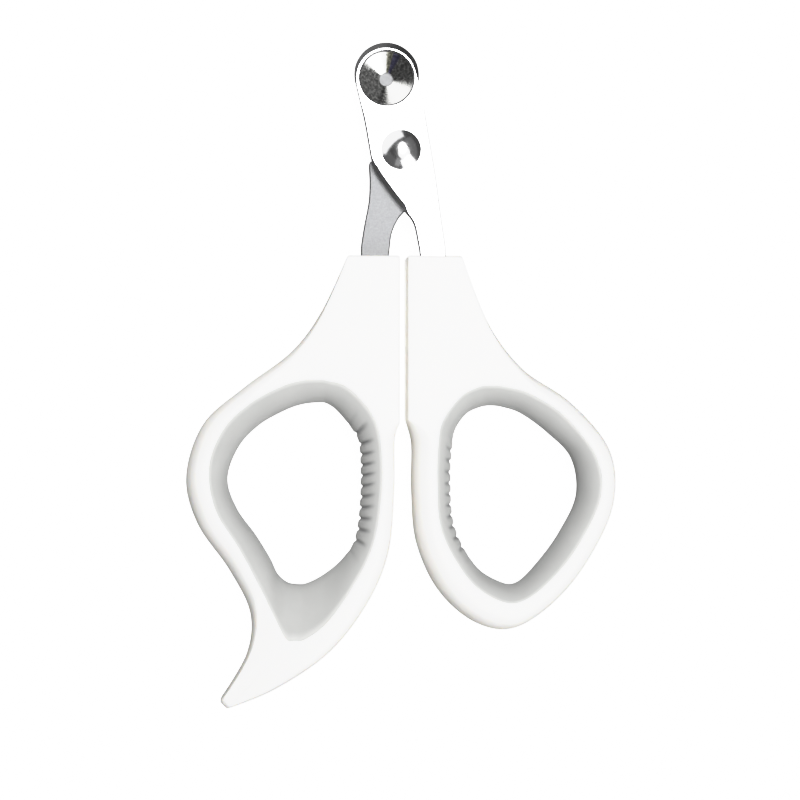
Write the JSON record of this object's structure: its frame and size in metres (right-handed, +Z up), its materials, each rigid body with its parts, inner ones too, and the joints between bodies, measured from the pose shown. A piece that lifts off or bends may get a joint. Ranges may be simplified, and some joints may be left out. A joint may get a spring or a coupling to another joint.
{
  "type": "pet nail trimmer",
  "caption": "Scissor-action trimmer for small pets' claws, with a dished claw guide in the front blade, looped plastic handles with soft grips and a curved finger rest.",
  "frame": {"origin": "on the table, under the middle of the closed tool's bounding box; the pivot axis stands 43.5 mm from it towards the blade tips and 0.1 mm to the right", "axes": "+Y from the handles to the blade tips, +X towards the right half, +Z up out of the front blade's face"},
  "size_m": [0.0838, 0.1299, 0.0106],
  "materials": {
    "polished_steel": "polished stainless plate, with fine turned rings in the dish",
    "satin_steel": "fine matte blasted stainless plate",
    "rivet_steel": "mirror polished",
    "white_plastic": "warm white moulded plastic, satin gloss",
    "grey_rubber": "soft moulded thermoplastic rubber, matte"
  },
  "bodies": {
    "right_half": {"front_blade": "polished_steel", "pivot_rivet": "rivet_steel", "rivet_washer": "rivet_steel", "right_handle": "white_plastic", "right_grip": "grey_rubber"},
    "left_half": {"rear_blade": "satin_steel", "left_handle": "white_plastic", "left_grip": "grey_rubber"}
  },
  "joints": [
    {"name": "blade_pivot", "type": "hinge", "parent": "right_half", "child": "left_half", "pos_m": [0.0001, 0.0435, 0.0053], "axis": [0, 0, -1], "range_deg": [-1.5, 60]}
  ]
}
